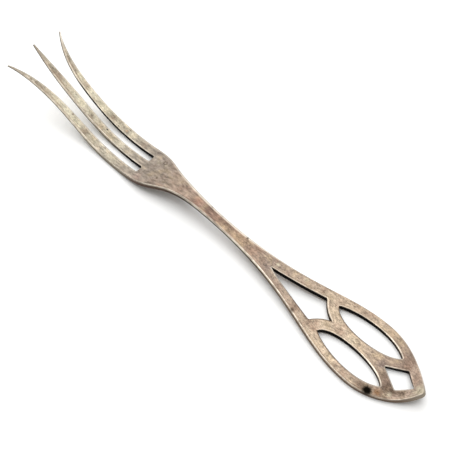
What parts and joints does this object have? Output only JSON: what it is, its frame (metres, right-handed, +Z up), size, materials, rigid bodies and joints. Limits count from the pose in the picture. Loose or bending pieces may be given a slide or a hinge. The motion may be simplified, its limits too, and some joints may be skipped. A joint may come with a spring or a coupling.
{
  "type": "lemon fork",
  "caption": "Silver lemon fork with a pierced handle of arrowhead shape, a slim bowed stem and spread pointed tines.",
  "frame": {"origin": "middle of the bottom of the fork's bounding box, level with the flat on which it stands", "axes": "+X along the fork from the handle's point to the tines, +Y across it to the left when looking along +X, +Z up towards the hollow side of the tines"},
  "size_m": [0.1292, 0.0188, 0.013],
  "materials": {
    "silver": "old hand finish, softly brushed, with warm tarnish"
  },
  "bodies": {
    "root": {"fork": "silver"}
  },
  "joints": []
}
